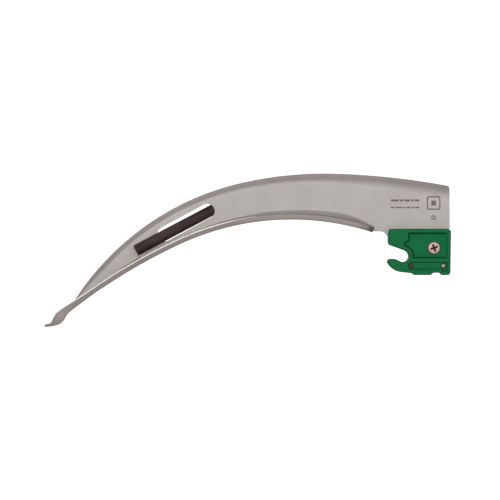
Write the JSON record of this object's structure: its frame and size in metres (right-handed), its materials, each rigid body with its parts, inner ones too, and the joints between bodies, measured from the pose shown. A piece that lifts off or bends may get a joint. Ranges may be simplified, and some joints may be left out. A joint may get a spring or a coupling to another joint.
{
  "type": "laryngoscope blade",
  "caption": "Curved laryngoscope blade with flange, spatula, fibre light guide through a web window, and a green hook-on heel with sprung side balls.",
  "frame": {"origin": "axis of the hook that hangs on the handle's cross pin, in the middle plane of the blade's web", "axes": "+X back towards the operator and the rear of the heel, -X towards the blade's tip, +Z towards the convex side of the blade, +Y towards the flange side"},
  "size_m": [0.1551, 0.0236, 0.0588],
  "materials": {
    "satin_steel": "satin, fine glass-bead blast",
    "green_plastic": "moulded, semi-gloss",
    "screw_steel": "turned, slightly warm",
    "pin_steel": "ground",
    "ball_steel": "polished",
    "spring_steel": "drawn wire",
    "glass_fibre": "polished fibre ends in epoxy",
    "dark_sheath": "woven sleeve set in epoxy",
    "dark_sealant": "cast, matt"
  },
  "bodies": {
    "blade": {"blade": "satin_steel", "heel_right_half": "green_plastic", "heel_left_half": "green_plastic", "heel_screw": "screw_steel", "heel_nut": "screw_steel", "front_locating_pin": "pin_steel", "rear_locating_pin": "pin_steel", "detent_spring_right": "spring_steel", "detent_spring_left": "spring_steel", "light_guide_fibres": "glass_fibre", "light_guide_sheath": "dark_sheath", "input_ferrule": "pin_steel", "light_guide_seal": "dark_sealant", "light_guide_strap_rear": "satin_steel", "light_guide_strap_front": "satin_steel"},
    "right_detent": {"detent_ball_right": "ball_steel"},
    "left_detent": {"detent_ball_left": "ball_steel"}
  },
  "joints": [
    {"name": "right_ball_press", "type": "slide", "parent": "blade", "child": "right_detent", "axis": [0, 1, 0], "range_m": [0, 0.0005], "stiffness_N_per_m": 2000, "springref_m": -0.001, "deforming": ["detent_spring_right"]},
    {"name": "left_ball_press", "type": "slide", "parent": "blade", "child": "left_detent", "axis": [0, -1, 0], "range_m": [0, 0.0005], "stiffness_N_per_m": 2000, "springref_m": -0.001, "deforming": ["detent_spring_left"]}
  ]
}
